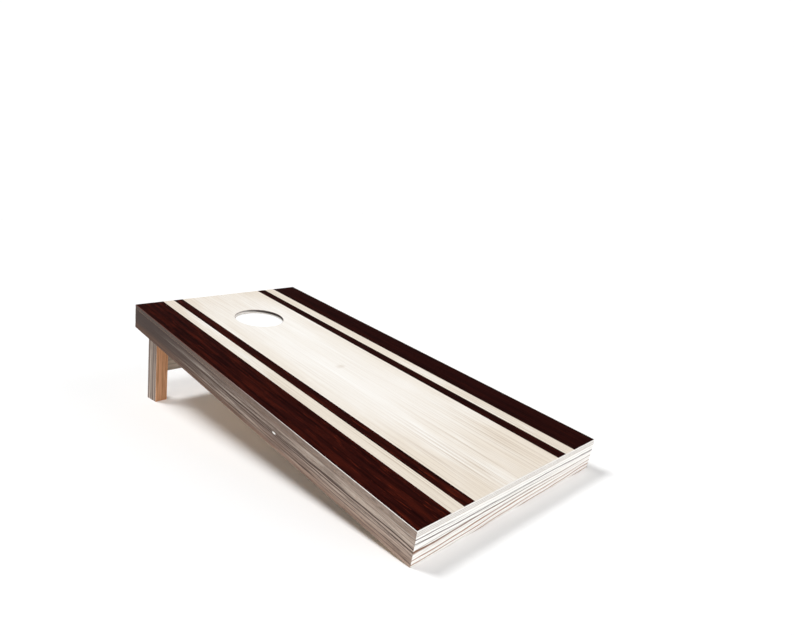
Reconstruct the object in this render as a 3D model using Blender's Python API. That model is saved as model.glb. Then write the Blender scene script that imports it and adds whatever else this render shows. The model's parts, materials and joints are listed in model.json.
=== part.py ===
"""Cornhole board: a plywood deck on a mitred rail frame, with a pair of folding legs at the head end.

The board is modelled in its own gauge: X across, Y from the foot edge to the head edge, Z square to
the deck, with Z = 0 at the frame's lower edge. An empty then tilts it to its playing slope, with the
floor at Z = 0 and the world origin under the middle of the whole board. All lengths are in metres.
"""
import bpy
import bmesh
from math import asin, atan2, cos, hypot, pi, radians, sin, sqrt, tan
from mathutils import Vector

# Board
BOARD_WIDTH = 0.6096
BOARD_LENGTH = 1.2192
DECK_THICKNESS = 0.0127
HEAD_HEIGHT = 0.310          # floor to the deck's top edge at the head
HOLE_DIAMETER = 0.1524
HOLE_FROM_HEAD = 0.2438      # head edge to the hole's centre

# Frame
RAIL_HEIGHT = 0.0635
RAIL_THICKNESS = 0.019
BLOCK_SIDE = 0.0381          # square corner blocks
BRACE_THICKNESS = 0.019
BRACE_FROM_FOOT = 0.600      # foot edge to the brace's middle

# Folding legs
LEG_THICKNESS = 0.0381       # across the board
LEG_WIDTH = 0.060            # along the board
LEG_TOP_CLEARANCE = 0.0018   # rounded top to the deck
CROSSBAR_THICKNESS = 0.019
CROSSBAR_HEIGHT = 0.0635
CROSSBAR_FROM_PIVOT = 0.126  # pivot to the crossbar's middle

# Pivot hardware
BOLT_DIAMETER = 0.0079
BOLT_HEAD_FLATS = 0.0127
BOLT_HEAD_HEIGHT = 0.0053
BOLT_CLEARANCE = 0.0002      # radial, in the legs and washers
WASHER_DIAMETER = 0.0222
WASHER_THICKNESS = 0.0016
INSERT_DIAMETER = 0.0125

# Screws and dowels
SCREW_DIAMETER = 0.0040
SCREW_HEAD_DIAMETER = 0.0082
SCREW_CROWN_DIAMETER = 0.0054  # flat top of a pan head
SCREW_HEAD_HEIGHT = 0.0026
SCREW_TIP_DIAMETER = 0.0010
SCREW_TIP_LENGTH = 0.0080
HEAD_SINK = 0.0006           # a countersunk head below the wood
POCKET_DIAMETER = 0.0095
POCKET_ANGLE = radians(15)
DECK_SCREW_SETBACK = 0.0140  # pocket's shelf to the joint, along the screw
BRACE_SCREW_SETBACK = 0.0180
DECK_COVER = 0.0025          # deck left above a screw's tip
RAIL_COVER = 0.0065          # rail left beyond a screw or an insert
DOWEL_DIAMETER = 0.0080
DOWEL_LENGTH = 0.040
DOWEL_SPACING = 0.032

# Places of the screws that hold the deck
SIDE_SCREW_MARGIN = 0.150    # from the foot edge, and on each side of the brace
END_SCREW_FROM_MIDDLE = 0.150
BRACE_SCREW_FROM_MIDDLE = 0.120
PAIR_SPREAD = 0.026          # between the two screws of a pair

GAP = 0.0003                 # between pieces that touch
ROUND_SIDES = 24             # facets of small round pieces
HOLE_SIDES = 64
LEG_TOP_SIDES = 20           # facets of a leg's half-round top

# Worked out from the sizes above
TOTAL_THICKNESS = RAIL_HEIGHT + GAP + DECK_THICKNESS
TILT = asin(HEAD_HEIGHT / hypot(BOARD_LENGTH, TOTAL_THICKNESS)) - atan2(TOTAL_THICKNESS, BOARD_LENGTH)
MIDDLE_Y = (BOARD_LENGTH * cos(TILT) - TOTAL_THICKNESS * sin(TILT)) / 2
SIDE_FACE = BOARD_WIDTH / 2 - RAIL_THICKNESS               # inner face of a side rail
LEG_SIDE_GAP = WASHER_THICKNESS + 2 * GAP
LEG_MIDDLE = SIDE_FACE - LEG_SIDE_GAP - LEG_THICKNESS / 2
LEG_INNER_FACE = LEG_MIDDLE - LEG_THICKNESS / 2
PIVOT_HEIGHT = RAIL_HEIGHT + GAP - LEG_TOP_CLEARANCE - LEG_WIDTH / 2
STOP_FACE = BOARD_LENGTH - RAIL_THICKNESS - GAP - BLOCK_SIDE
PIVOT_Y = STOP_FACE - GAP - LEG_WIDTH / 2
HOLE_Y = BOARD_LENGTH - HOLE_FROM_HEAD
INSERT_LENGTH = RAIL_THICKNESS - RAIL_COVER
BLOCK_SCREW_LENGTH = BLOCK_SIDE + RAIL_THICKNESS - RAIL_COVER
DECK_SCREW_LENGTH = DECK_SCREW_SETBACK + (DECK_THICKNESS - DECK_COVER) / cos(POCKET_ANGLE)
BRACE_SCREW_LENGTH = BRACE_SCREW_SETBACK + (RAIL_THICKNESS - RAIL_COVER) / cos(POCKET_ANGLE)
SIDES = {"left": -1, "right": 1}


def clear_scene():
    for item in list(bpy.data.objects):
        bpy.data.objects.remove(item, do_unlink=True)


def make_material(name, colour, roughness, metallic=0.0):
    material = bpy.data.materials.new(name)
    material.use_nodes = True
    shader = material.node_tree.nodes["Principled BSDF"]
    shader.inputs["Base Color"].default_value = (*colour, 1.0)
    shader.inputs["Roughness"].default_value = roughness
    shader.inputs["Metallic"].default_value = metallic
    return material


def add_empty(name, location, tilt=0.0, parent=None):
    empty = bpy.data.objects.new(name, None)
    bpy.context.scene.collection.objects.link(empty)
    empty.location = location
    empty.rotation_euler = (tilt, 0.0, 0.0)
    empty.parent = parent
    return empty


def add_piece(name, mesh, parent, finish, location=(0, 0, 0), turn=0.0, direction=None):
    """A named object under its parent, turned about Z, or with its own Z along a direction."""
    piece = bpy.data.objects.new(name, mesh)
    bpy.context.scene.collection.objects.link(piece)
    piece.parent = parent
    piece.location = location
    piece.rotation_euler = (0.0, 0.0, turn)
    if direction is not None:
        upright = Vector((0, 0, 1))
        piece.rotation_euler = upright.rotation_difference(Vector(direction)).to_euler()
    if finish is None:
        piece.hide_render = True
        piece.display_type = "WIRE"
    else:
        material = make_material(name, **finish)
        piece.data.materials.clear()
        piece.data.materials.append(material)
    return piece


def cut(target, cutter):
    boolean = target.modifiers.new(cutter.name, "BOOLEAN")
    boolean.operation = "DIFFERENCE"
    boolean.solver = "EXACT"
    boolean.object = cutter


def mesh_from(shape, name):
    bmesh.ops.recalc_face_normals(shape, faces=shape.faces)
    mesh = bpy.data.meshes.new(name)
    shape.to_mesh(mesh)
    shape.free()
    return mesh


def slab(name, outline, low, high, axis="Z"):
    """An outline pushed from low to high along an axis. Its points are in the other two axes, in order."""
    shape = bmesh.new()
    corners = []
    for first, second in outline:
        spot = {"X": (low, first, second), "Y": (first, low, second), "Z": (first, second, low)}[axis]
        corners.append(shape.verts.new(spot))
    face = shape.faces.new(corners)
    pushed = bmesh.ops.extrude_face_region(shape, geom=[face])
    moved = [item for item in pushed["geom"] if isinstance(item, bmesh.types.BMVert)]
    shift = (high - low) * Vector([axis == letter for letter in "XYZ"])
    bmesh.ops.translate(shape, verts=moved, vec=shift)
    return mesh_from(shape, name)


def box(name, width, length, height):
    """A rectangular block about its own middle."""
    across = width / 2
    along = length / 2
    outline = [(-across, -along), (across, -along), (across, along), (-across, along)]
    return slab(name, outline, -height / 2, height / 2)


def add_ring(shape, height, radius, sides, hexagon=False):
    """Points around Z, on a circle or on a hexagon whose flats are a radius from its middle."""
    ring = []
    for step in range(sides):
        angle = 2 * pi * step / sides
        reach = radius
        if hexagon:
            reach = radius / cos((angle + pi / 6) % (pi / 3) - pi / 6)
        ring.append(shape.verts.new((reach * cos(angle), reach * sin(angle), height)))
    return ring


def join_rings(shape, lower, upper):
    sides = len(lower)
    for step in range(sides):
        after = (step + 1) % sides
        shape.faces.new((lower[step], lower[after], upper[after], upper[step]))


def turned(name, profile, sides=ROUND_SIDES):
    """A solid of rings along Z, each (height, radius), or for a hexagon (height, half its flats, True)."""
    shape = bmesh.new()
    rings = [add_ring(shape, height, radius, sides, *hexagon) for height, radius, *hexagon in profile]
    for lower, upper in zip(rings, rings[1:]):
        join_rings(shape, lower, upper)
    shape.faces.new(rings[0])
    shape.faces.new(rings[-1])
    return mesh_from(shape, name)


def sleeve(name, inner, outer, length):
    """A round tube along Z, starting at 0."""
    shape = bmesh.new()
    corners = ((0, inner), (0, outer), (length, outer), (length, inner))
    rings = [add_ring(shape, height, radius, ROUND_SIDES) for height, radius in corners]
    for index, ring in enumerate(rings):
        join_rings(shape, ring, rings[(index + 1) % len(rings)])
    return mesh_from(shape, name)


def mitred_board(name, length):
    """A rail about its own middle, with its long outer face towards -Y and both ends cut at 45 degrees."""
    outer = length / 2 - GAP / sqrt(2)
    inner = outer - RAIL_THICKNESS
    half = RAIL_THICKNESS / 2
    outline = [(-outer, -half), (outer, -half), (inner, half), (-inner, half)]
    return slab(name, outline, -RAIL_HEIGHT / 2, RAIL_HEIGHT / 2)


def leg_outline():
    """Side of a leg about its pivot: a round top, and a foot cut level with the floor."""
    radius = LEG_WIDTH / 2
    points = []
    for step in range(LEG_TOP_SIDES + 1):
        angle = pi * step / LEG_TOP_SIDES
        points.append((radius * cos(angle), radius * sin(angle)))
    for reach in (-radius, radius):
        points.append((reach, -PIVOT_HEIGHT - (PIVOT_Y + reach) * tan(TILT)))
    return points


# Finishes

PRINTED_PLY = {"colour": (0.83, 0.79, 0.72), "roughness": 0.45}
RAIL_WOOD = {"colour": (0.42, 0.34, 0.28), "roughness": 0.65}
BLOCK_WOOD = {"colour": (0.60, 0.45, 0.31), "roughness": 0.70}
LEG_WOOD = {"colour": (0.45, 0.32, 0.23), "roughness": 0.65}
DOWEL_WOOD = {"colour": (0.66, 0.52, 0.36), "roughness": 0.70}
ZINC_STEEL = {"colour": (0.62, 0.62, 0.60), "roughness": 0.35, "metallic": 1.0}
INSERT_BRASS = {"colour": (0.72, 0.55, 0.28), "roughness": 0.35, "metallic": 1.0}


def make_deck(board):
    mesh = box("deck_panel", BOARD_WIDTH, BOARD_LENGTH, DECK_THICKNESS)
    middle = RAIL_HEIGHT + GAP + DECK_THICKNESS / 2
    deck = add_piece("deck_panel", mesh, board, PRINTED_PLY, (0, BOARD_LENGTH / 2, middle))
    radius = HOLE_DIAMETER / 2
    drill = turned("hole_cutter", [(-DECK_THICKNESS, radius), (DECK_THICKNESS, radius)], HOLE_SIDES)
    cut(deck, add_piece("hole_cutter", drill, board, None, (0, HOLE_Y, middle)))
    return deck


def make_rails(board):
    edge = RAIL_THICKNESS / 2
    across = BOARD_WIDTH / 2 - edge
    places = {
        "foot_rail": (BOARD_WIDTH, (0, edge), 0),
        "head_rail": (BOARD_WIDTH, (0, BOARD_LENGTH - edge), pi),
        "side_rail_left": (BOARD_LENGTH, (-across, BOARD_LENGTH / 2), -pi / 2),
        "side_rail_right": (BOARD_LENGTH, (across, BOARD_LENGTH / 2), pi / 2),
    }
    rails = {}
    for name, (length, place, turn) in places.items():
        mesh = mitred_board(name, length)
        rails[name] = add_piece(name, mesh, board, RAIL_WOOD, (*place, RAIL_HEIGHT / 2), turn)
    return rails


def make_brace(board):
    mesh = box("centre_brace", 2 * (SIDE_FACE - GAP), BRACE_THICKNESS, RAIL_HEIGHT)
    return add_piece("centre_brace", mesh, board, BLOCK_WOOD, (0, BRACE_FROM_FOOT, RAIL_HEIGHT / 2))


def add_screw(name, board, drilled, profile, hole, place, direction):
    """A small turned screw, and the hole for it in the pieces that it joins."""
    sides = ROUND_SIDES // 2
    drill = turned(f"{name}_cutter", hole, sides)
    cutter = add_piece(f"{name}_cutter", drill, board, None, place, direction=direction)
    for piece in drilled:
        cut(piece, cutter)
    add_piece(name, turned(name, profile, sides), board, ZINC_STEEL, place, direction=direction)


def make_block_screw(name, board, block, rail, head, direction):
    """A countersunk screw from a block's face, through the block and into a rail."""
    radius = SCREW_DIAMETER / 2
    wide = SCREW_HEAD_DIAMETER / 2
    neck = HEAD_SINK + SCREW_HEAD_HEIGHT
    profile = [
        (HEAD_SINK, wide),
        (neck, radius),
        (BLOCK_SCREW_LENGTH - SCREW_TIP_LENGTH, radius),
        (BLOCK_SCREW_LENGTH, SCREW_TIP_DIAMETER / 2),
    ]
    recess = [
        (-HEAD_SINK, wide + GAP),
        (HEAD_SINK + GAP / 2, wide + GAP),
        (neck + GAP / 2, radius + GAP),
        (BLOCK_SCREW_LENGTH + GAP, radius + GAP),
    ]
    add_screw(name, board, (block, rail), profile, recess, head, direction)


def make_corner_blocks(board, rails):
    """Square posts in the frame's corners. The head pair are the stops that the legs lean on."""
    reach = SIDE_FACE - GAP - BLOCK_SIDE / 2
    ends = {"foot": RAIL_THICKNESS + GAP + BLOCK_SIDE / 2, "head": STOP_FACE + BLOCK_SIDE / 2}
    for end, along in ends.items():
        towards_end = -1 if end == "foot" else 1
        for side, sign in SIDES.items():
            name = f"{end}_block_{side}"
            mesh = box(name, BLOCK_SIDE, BLOCK_SIDE, RAIL_HEIGHT)
            across = sign * reach
            block = add_piece(name, mesh, board, BLOCK_WOOD, (across, along, RAIL_HEIGHT / 2))
            low = (RAIL_HEIGHT - PAIR_SPREAD) / 2
            head = (across - sign * BLOCK_SIDE / 2, along, low)
            side_rail = rails[f"side_rail_{side}"]
            make_block_screw(f"{name}_side_screw", board, block, side_rail, head, (sign, 0, 0))
            head = (across, along - towards_end * BLOCK_SIDE / 2, low + PAIR_SPREAD)
            end_rail = rails[f"{end}_rail"]
            make_block_screw(f"{name}_end_screw", board, block, end_rail, head, (0, towards_end, 0))


def make_pocket_screw(name, board, pieces, joint, forward, face, thickness, length, setback):
    """A pan-head screw in a slanted pocket. It leaves the first piece, of the given thickness, in the
    middle of the joint, and goes forward into the second. The pocket opens in the first piece's face."""
    slant = cos(POCKET_ANGLE) * Vector(forward) - sin(POCKET_ANGLE) * Vector(face)
    shelf = Vector(joint) - setback * slant
    radius = SCREW_DIAMETER / 2
    way_out = (thickness / 2 + POCKET_DIAMETER) / sin(POCKET_ANGLE)
    profile = [
        (-GAP - SCREW_HEAD_HEIGHT, SCREW_CROWN_DIAMETER / 2),
        (-GAP - SCREW_HEAD_HEIGHT / 2, SCREW_HEAD_DIAMETER / 2),
        (-GAP, SCREW_HEAD_DIAMETER / 2),
        (-GAP, radius),
        (length - SCREW_TIP_LENGTH, radius),
        (length, SCREW_TIP_DIAMETER / 2),
    ]
    pocket = [
        (-way_out, POCKET_DIAMETER / 2),
        (0, POCKET_DIAMETER / 2),
        (0, radius + GAP),
        (length + GAP, radius + GAP),
    ]
    add_screw(name, board, pieces, profile, pocket, shelf, slant)


def make_deck_screws(board, deck, rails, brace):
    """Pocket screws from inside the frame, up into the deck."""
    top = RAIL_HEIGHT
    middle = RAIL_THICKNESS / 2
    stations = {
        "foot": SIDE_SCREW_MARGIN,
        "middle": BRACE_FROM_FOOT - SIDE_SCREW_MARGIN,
        "head": BRACE_FROM_FOOT + SIDE_SCREW_MARGIN,
    }
    spots = []
    for side, sign in SIDES.items():
        rail = rails[f"side_rail_{side}"]
        across = sign * (BOARD_WIDTH / 2 - middle)
        for station, along in stations.items():
            spots.append((f"deck_screw_{side}_{station}", rail, (across, along, top), (-sign, 0, 0)))
        across = sign * END_SCREW_FROM_MIDDLE
        foot_place = (across, middle, top)
        head_place = (across, BOARD_LENGTH - middle, top)
        brace_place = (sign * BRACE_SCREW_FROM_MIDDLE, BRACE_FROM_FOOT, top)
        spots.append((f"deck_screw_foot_{side}", rails["foot_rail"], foot_place, (0, 1, 0)))
        spots.append((f"deck_screw_head_{side}", rails["head_rail"], head_place, (0, -1, 0)))
        spots.append((f"deck_screw_brace_{side}", brace, brace_place, (0, -1, 0)))
    for name, held, joint, face in spots:
        thickness = BRACE_THICKNESS if held is brace else RAIL_THICKNESS
        size = (thickness, DECK_SCREW_LENGTH, DECK_SCREW_SETBACK)
        make_pocket_screw(name, board, (held, deck), joint, (0, 0, 1), face, *size)


def make_brace_screws(board, rails, brace):
    """Two pocket screws at each end of the brace, into the side rail."""
    size = (BRACE_THICKNESS, BRACE_SCREW_LENGTH, BRACE_SCREW_SETBACK)
    for side, sign in SIDES.items():
        for level, offset in {"lower": -PAIR_SPREAD / 2, "upper": PAIR_SPREAD / 2}.items():
            name = f"brace_screw_{side}_{level}"
            joint = (sign * SIDE_FACE, BRACE_FROM_FOOT, RAIL_HEIGHT / 2 + offset)
            pieces = (brace, rails[f"side_rail_{side}"])
            make_pocket_screw(name, board, pieces, joint, (sign, 0, 0), (0, -1, 0), *size)


def make_pivot(board, rail, leg, side, sign):
    """A hex bolt through a leg, with a washer on each side of it, in a blind threaded insert in the rail.

    Its parts are turned along the bolt, which points outwards. Zero is the side rail's inner face.
    """
    outward = (sign, 0, 0)
    radius = BOLT_DIAMETER / 2
    head = -LEG_SIDE_GAP - LEG_THICKNESS - WASHER_THICKNESS - 2 * GAP

    def place(depth):
        return (sign * (SIDE_FACE + depth), PIVOT_Y, PIVOT_HEIGHT)

    bolt = turned(f"pivot_bolt_{side}", [
        (head - BOLT_HEAD_HEIGHT, BOLT_HEAD_FLATS / 2, True),
        (head, BOLT_HEAD_FLATS / 2, True),
        (head, radius),
        (INSERT_LENGTH - radius / 2, radius),
        (INSERT_LENGTH, radius / 2),
    ])
    add_piece(f"pivot_bolt_{side}", bolt, board, ZINC_STEEL, place(0), direction=outward)
    bore = radius + BOLT_CLEARANCE
    for name, start in (("head_washer", head + GAP), ("spacer_washer", -GAP - WASHER_THICKNESS)):
        washer = sleeve(f"{name}_{side}", bore, WASHER_DIAMETER / 2, WASHER_THICKNESS)
        add_piece(f"{name}_{side}", washer, board, ZINC_STEEL, place(start), direction=outward)
    insert = sleeve(f"threaded_insert_{side}", radius + GAP, INSERT_DIAMETER / 2, INSERT_LENGTH)
    add_piece(f"threaded_insert_{side}", insert, board, INSERT_BRASS, place(0), direction=outward)
    socket = INSERT_DIAMETER / 2 + GAP
    name = f"insert_cutter_{side}"
    blind = turned(name, [(-GAP, socket), (INSERT_LENGTH + GAP, socket)])
    cut(rail, add_piece(name, blind, board, None, place(0), direction=outward))
    name = f"bolt_cutter_{side}"
    through = turned(name, [(-LEG_THICKNESS, bore), (LEG_THICKNESS, bore)])
    cut(leg, add_piece(name, through, leg.parent, None, (sign * LEG_MIDDLE, 0, 0), direction=outward))


def make_crossbar(pivot):
    mesh = box("leg_crossbar", 2 * (LEG_INNER_FACE - GAP), CROSSBAR_THICKNESS, CROSSBAR_HEIGHT)
    return add_piece("leg_crossbar", mesh, pivot, LEG_WOOD, (0, 0, -CROSSBAR_FROM_PIVOT))


def make_dowels(pivot, leg, crossbar, side, sign):
    """Two glued dowels that join a leg to the crossbar's end."""
    radius = DOWEL_DIAMETER / 2
    half = DOWEL_LENGTH / 2
    for level, offset in {"lower": -DOWEL_SPACING / 2, "upper": DOWEL_SPACING / 2}.items():
        name = f"crossbar_dowel_{side}_{level}"
        place = (sign * LEG_INNER_FACE, 0, offset - CROSSBAR_FROM_PIVOT)
        rod = turned(name, [(-half, radius), (half, radius)])
        add_piece(name, rod, pivot, DOWEL_WOOD, place, direction=(1, 0, 0))
        drill = turned(f"{name}_cutter", [(-half - GAP, radius + GAP), (half + GAP, radius + GAP)])
        cutter = add_piece(f"{name}_cutter", drill, pivot, None, place, direction=(1, 0, 0))
        cut(leg, cutter)
        cut(crossbar, cutter)


def make_legs(board, pivot, rails):
    """Two legs and their crossbar, about the empty on the pivot bolts' axis."""
    crossbar = make_crossbar(pivot)
    for side, sign in SIDES.items():
        name = f"leg_{side}"
        mesh = slab(name, leg_outline(), -LEG_THICKNESS / 2, LEG_THICKNESS / 2, "X")
        leg = add_piece(name, mesh, pivot, LEG_WOOD, (sign * LEG_MIDDLE, 0, 0))
        make_pivot(board, rails[f"side_rail_{side}"], leg, side, sign)
        make_dowels(pivot, leg, crossbar, side, sign)


def shade():
    """Smooth shading on round pieces, with their edges kept sharp."""
    for piece in bpy.context.scene.objects:
        if piece.type == "MESH":
            piece.data.shade_smooth()
            piece.data.set_sharp_from_angle(angle=radians(30))


def main():
    clear_scene()
    board = add_empty("board_gauge", (0, -MIDDLE_Y, 0), TILT)
    pivot = add_empty("leg_pivot", (0, PIVOT_Y, PIVOT_HEIGHT), parent=board)
    deck = make_deck(board)
    rails = make_rails(board)
    brace = make_brace(board)
    make_corner_blocks(board, rails)
    make_deck_screws(board, deck, rails, brace)
    make_brace_screws(board, rails, brace)
    make_legs(board, pivot, rails)
    shade()


main()
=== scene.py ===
"""Cornhole board: a striped plywood deck on a mitred rail frame, with folding legs at the head end.

Pieces are modelled in the board's own gauge: X across, Y from the foot edge to the head edge, Z square
to the deck and 0 at the frame's lower edge. settle() then tilts them to the playing slope. All lengths
are in metres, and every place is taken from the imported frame.
"""
import json
from math import atan2, pi, radians

import bmesh
import bpy
import numpy as np
from bpy.props import FloatProperty, FloatVectorProperty, IntProperty, PointerProperty
from mathutils import Euler, Matrix, Vector


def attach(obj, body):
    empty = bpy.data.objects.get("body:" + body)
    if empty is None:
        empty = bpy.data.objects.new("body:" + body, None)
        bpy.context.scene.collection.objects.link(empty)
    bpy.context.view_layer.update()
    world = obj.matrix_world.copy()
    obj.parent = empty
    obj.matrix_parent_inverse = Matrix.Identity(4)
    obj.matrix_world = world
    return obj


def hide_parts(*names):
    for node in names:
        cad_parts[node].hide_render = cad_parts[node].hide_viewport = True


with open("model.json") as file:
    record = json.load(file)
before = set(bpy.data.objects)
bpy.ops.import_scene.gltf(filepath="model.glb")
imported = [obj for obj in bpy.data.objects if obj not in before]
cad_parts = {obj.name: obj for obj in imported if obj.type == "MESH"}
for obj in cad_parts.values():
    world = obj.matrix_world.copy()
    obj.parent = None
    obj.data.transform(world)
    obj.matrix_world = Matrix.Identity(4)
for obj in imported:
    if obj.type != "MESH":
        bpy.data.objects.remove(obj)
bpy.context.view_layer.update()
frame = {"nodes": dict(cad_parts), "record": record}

bl_info = {
    "name": "Cornhole Board",
    "version": (1, 0, 0),
    "blender": (4, 5, 0),
    "location": "3D View > Sidebar > Cornhole",
    "description": "Builds a cornhole board with folding legs around its frame",
    "category": "Object",
}

SIDES = {"left": -1, "right": 1}

# The board's tilt and place, from the playing face and the foot rail

PLAYING_FACE = next(m for m in frame["record"]["mounts"] if m["name"] == "playing_face")
TILT = atan2(-PLAYING_FACE["axis"][1], PLAYING_FACE["axis"][2])
UPRIGHT = Matrix.Rotation(-TILT, 4, "X")
FOOT_CORNERS = [UPRIGHT @ vertex.co for vertex in frame["nodes"]["foot_rail"].data.vertices]
FOOT_EDGE = Vector((0, min(c.y for c in FOOT_CORNERS), min(c.z for c in FOOT_CORNERS)))
BOARD_ORIGIN = UPRIGHT.inverted() @ FOOT_EDGE
BOARD = Matrix.Translation(BOARD_ORIGIN) @ UPRIGHT.inverted()


def gauge_points(node):
    """A CAD node's corners in the board's gauge."""
    back = BOARD.inverted()
    return [back @ vertex.co for vertex in frame["nodes"][node].data.vertices]


def gauge_box(node):
    """Lowest and highest corner of a CAD node in the board's gauge."""
    points = np.array(gauge_points(node))
    return Vector(points.min(0)), Vector(points.max(0))


DECK_LOW, DECK_HIGH = gauge_box("deck_panel")
HALF_WIDTH = DECK_HIGH.x
LENGTH = DECK_HIGH.y
BOLT_LOW, BOLT_HIGH = gauge_box("pivot_bolt_left")
PIVOT = Vector((0, (BOLT_LOW.y + BOLT_HIGH.y) / 2, (BOLT_LOW.z + BOLT_HIGH.z) / 2))

NEAR = 1e-5  # how close two places count as one
GAP = 0.0003  # between a fastener and the wood round it
BORE_GAP = 0.0002  # between a pivot bolt and what turns on it
BEYOND = 0.01  # how far a bore's cutter passes the faces
POCKET_REACH = 0.074
MOUTH = 0.0018  # how far a countersink's cutter stands out of the face
SCREW_POINT = 0.0080
SCREW_TIP = 0.25  # a point's end, as a share of its shank
BOLT_CORE = 0.90
INSERT_CORE = 0.84
WOOD_SHEEN = 0.3
FLOOR_SIZE = 60
SKY_STOPS = (0.31, 0.38)  # where the horizon's glow ends and the sky starts
SKY_LIGHT = 1.02


def tone(red, green, blue):
    """A colour given in 0 to 255 display steps, as the linear values that a shader takes."""
    steps = (step / 255 for step in (red, green, blue))
    return tuple(step / 12.92 if step <= 0.04045 else ((step + 0.055) / 1.055) ** 2.4 for step in steps)


def length(name, description, default):
    settings = {"default": default, "min": 0, "precision": 5, "unit": "LENGTH"}
    return FloatProperty(name=name, description=description, **settings)


def turn(name, description, degrees):
    return FloatProperty(name=name, description=description, default=radians(degrees), unit="ROTATION")


def power(name, source, default):
    return FloatProperty(name=name, description=f"Strength of the {source}", default=default)


def paint(name, description, *steps):
    return FloatVectorProperty(
        name=name, description=description, default=tone(*steps), size=3, min=0, max=1, subtype="COLOR"
    )


class CornholeSizes(bpy.types.PropertyGroup):
    """Sizes that the frame leaves open."""

    hole_diameter: length("Hole", "Diameter of the bag hole", 0.1524)
    hole_from_head: length("Hole from head", "Head edge to the hole's centre", 0.2438)
    inner_stripe_start: length("Inner stripe start", "Centre line to the inner dark stripe", 0.1458)
    inner_stripe_end: length("Inner stripe end", "Centre line to the inner dark stripe's far edge", 0.1773)
    outer_band_start: length("Outer band start", "Centre line to the outer dark band", 0.2131)
    deck_rounding: length("Deck rounding", "Rounding of the deck's top edges", 0.0012)
    hole_rounding: length("Hole rounding", "Rounding of the hole's rims", 0.0014)
    rail_rounding: length("Rail rounding", "Rounding of the rails' lower edges", 0.0009)
    block_rounding: length("Block rounding", "Rounding of the blocks and the brace", 0.0012)
    leg_rounding: length("Leg rounding", "Rounding of the legs' edges", 0.0050)
    plies: IntProperty(name="Plies", description="Layers of wood in the deck", default=7, min=3)
    screw_diameter: length("Screw", "Diameter of a screw over its thread", 0.0040)
    screw_head_diameter: length("Screw head", "Diameter of a screw's head", 0.0082)
    screw_head_height: length("Screw head height", "Height of a screw's head", 0.0026)
    screw_pitch: length("Screw pitch", "Step of a screw's thread", 0.0020)
    pocket_diameter: length("Pocket", "Diameter of the slanted pockets", 0.0095)
    bolt_diameter: length("Bolt", "Diameter of a pivot bolt", 0.0079)
    bolt_flats: length("Bolt flats", "Across the flats of a bolt's head", 0.0127)
    bolt_pitch: length("Bolt pitch", "Step of a bolt's thread", 0.00141)


class CornholeColours(bpy.types.PropertyGroup):
    """Colours of the woods and metals."""

    mahogany: paint("Mahogany", "Ground of the dark bands", 44, 13, 10)
    mahogany_deep: paint("Mahogany deep", "Dark figure in the bands", 21, 3, 3)
    mahogany_red: paint("Mahogany red", "Red streaks in the bands", 104, 38, 22)
    whitewash: paint("Whitewash", "Ground of the pale bands", 245, 243, 239)
    whitewash_warm: paint("Whitewash warm", "Pale bands towards their edges", 227, 217, 203)
    whitewash_grain: paint("Whitewash grain", "Grain that shows through the whitewash", 200, 186, 170)
    # The side rails' ground runs from pale at the foot to deep at the head: painted light near the foot and
    # painted shade towards the head, all on one wood.
    stain_painted_light: paint("Stain pale", "Side rails near the foot", 184, 165, 151)
    stain: paint("Stain", "Side rails at the middle", 138, 118, 106)
    stain_painted_shade: paint("Stain deep", "Side rails near the head", 54, 39, 33)
    stain_grain: paint("Stain grain", "Dark grain of the side rails", 62, 44, 36)
    # Near white: painted light on the foot faces, which are the same wood as the darker side rails. It is
    # also the pale plies of the bag hole and the pale end of the deck edge's painted highlight.
    bleached: paint("Bleached", "Ground of the foot rail", 254, 252, 248)
    bleached_grain: paint("Bleached grain", "Grain of the foot rail", 156, 106, 72)
    leg_grey: paint("Leg grey", "Sides of the legs and the crossbar", 118, 101, 90)
    leg_pale: paint("Leg pale", "Paler bands on the sides of the legs", 186, 170, 157)
    tan: paint("Tan", "Front and back faces of the legs", 212, 160, 122)
    pine: paint("Pine", "Blocks, brace and the inside of the frame", 206, 172, 132)
    pine_grain: paint("Pine grain", "Grain of the plain pine", 150, 104, 64)
    ply_back: paint("Ply back", "Underside of the deck", 214, 184, 146)
    ply_glue: paint("Ply glue", "Lines between the plies", 128, 112, 100)
    # Painted shade inside the bag hole, below its rim.
    hole_rim_shade: paint("Sealed edge", "Wall of the bag hole", 74, 70, 68)
    zinc: paint("Zinc", "Screws, bolts and washers", 190, 192, 192)
    brass: paint("Brass", "Threaded inserts", 206, 170, 96)
    floor: paint("Floor", "The studio floor", 250, 250, 250)


class CornholeStudio(bpy.types.PropertyGroup):
    """Camera and lights."""

    camera_place: FloatVectorProperty(
        name="Camera", description="Camera's place", default=(-0.9899, -1.2146, 0.6164), subtype="XYZ"
    )
    heading: turn("Heading", "Camera's turn from +Y to +X", 39.79)
    pitch: turn("Pitch", "Camera's tilt above level", -10.086)
    roll: turn("Roll", "Camera's turn about its line of sight", -0.21)
    lens: FloatProperty(name="Lens", description="Focal length in millimetres", default=26.63, unit="CAMERA")
    shift: FloatVectorProperty(
        name="Shift", description="Lens shift, in widths of the picture", default=(0.0779, -0.0102), size=2
    )
    key_strength: power("Key", "light from the upper left", 0.95)
    back_strength: power("Back", "light from behind", 1.9)
    fill_strength: power("Fill", "light from the front right", 0.7)
    sky_strength: power("Sky", "sky above the horizon's glow", 0.15)


def sizes():
    return bpy.context.scene.cornhole_sizes


def colours():
    return bpy.context.scene.cornhole_colours


# Modelling


def alone(piece):
    """Makes a piece the only one selected, and the active one."""
    bpy.ops.object.select_all(action="DESELECT")
    piece.select_set(True)
    bpy.context.view_layer.objects.active = piece


def added(name):
    """Names the primitive that was just added, and puts its place in its mesh."""
    piece = bpy.context.active_object
    piece.name = name
    bpy.ops.object.transform_apply(location=True, rotation=True, scale=True)
    return piece


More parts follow.
